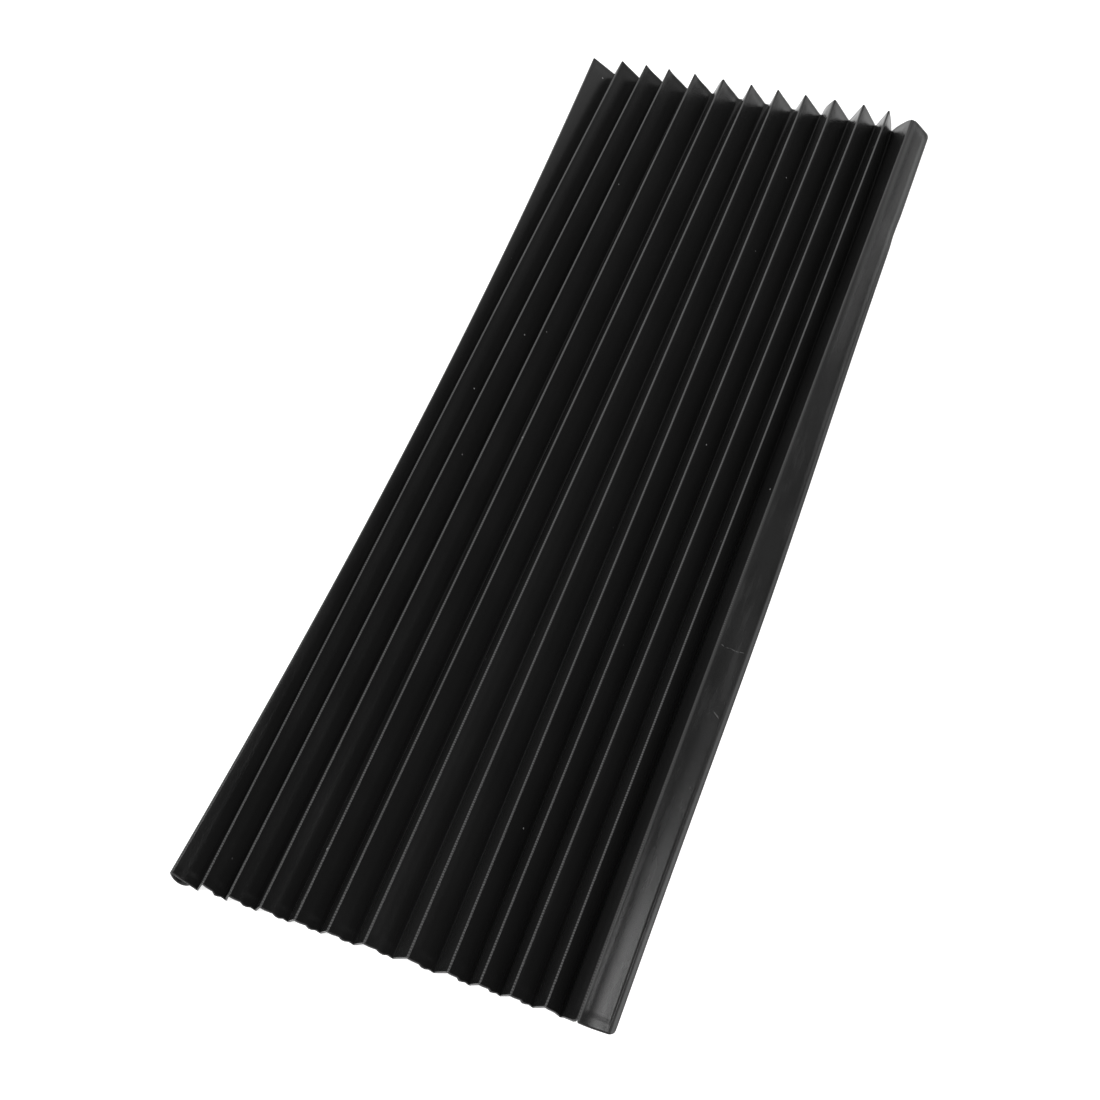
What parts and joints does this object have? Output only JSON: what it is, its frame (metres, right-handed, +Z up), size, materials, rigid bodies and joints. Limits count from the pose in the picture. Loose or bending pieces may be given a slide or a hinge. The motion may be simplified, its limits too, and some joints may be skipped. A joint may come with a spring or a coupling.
{
  "type": "bellows way cover",
  "caption": "Flat pleated way cover of black coated cloth, folded like an accordion over stiffening strips, with a plain flap along each end for clamping to a machine slide.",
  "frame": {"origin": "middle of the cover's footprint, on the surface that it lies on", "axes": "+X across the pleats, the way the cover draws out, towards the flap that lies open; +Y along the folds; +Z up from the surface"},
  "size_m": [0.131, 0.35, 0.0079],
  "materials": {
    "outer_cloth": "semi-gloss coated",
    "lining_cloth": "matt coated",
    "strip": "matt"
  },
  "bodies": {
    "root": {"outer_cloth": "outer_cloth", "lining_cloth": "lining_cloth", "panel_strip_01": "strip", "panel_strip_02": "strip", "panel_strip_03": "strip", "panel_strip_04": "strip", "panel_strip_05": "strip", "panel_strip_06": "strip", "panel_strip_07": "strip", "panel_strip_08": "strip", "panel_strip_09": "strip", "panel_strip_10": "strip", "panel_strip_11": "strip", "panel_strip_12": "strip", "panel_strip_13": "strip", "panel_strip_14": "strip", "panel_strip_15": "strip", "panel_strip_16": "strip", "panel_strip_17": "strip", "panel_strip_18": "strip", "panel_strip_19": "strip", "panel_strip_20": "strip", "panel_strip_21": "strip", "panel_strip_22": "strip", "panel_strip_23": "strip", "panel_strip_24": "strip", "left_flap_strip": "strip", "right_flap_strip": "strip"}
  },
  "joints": []
}
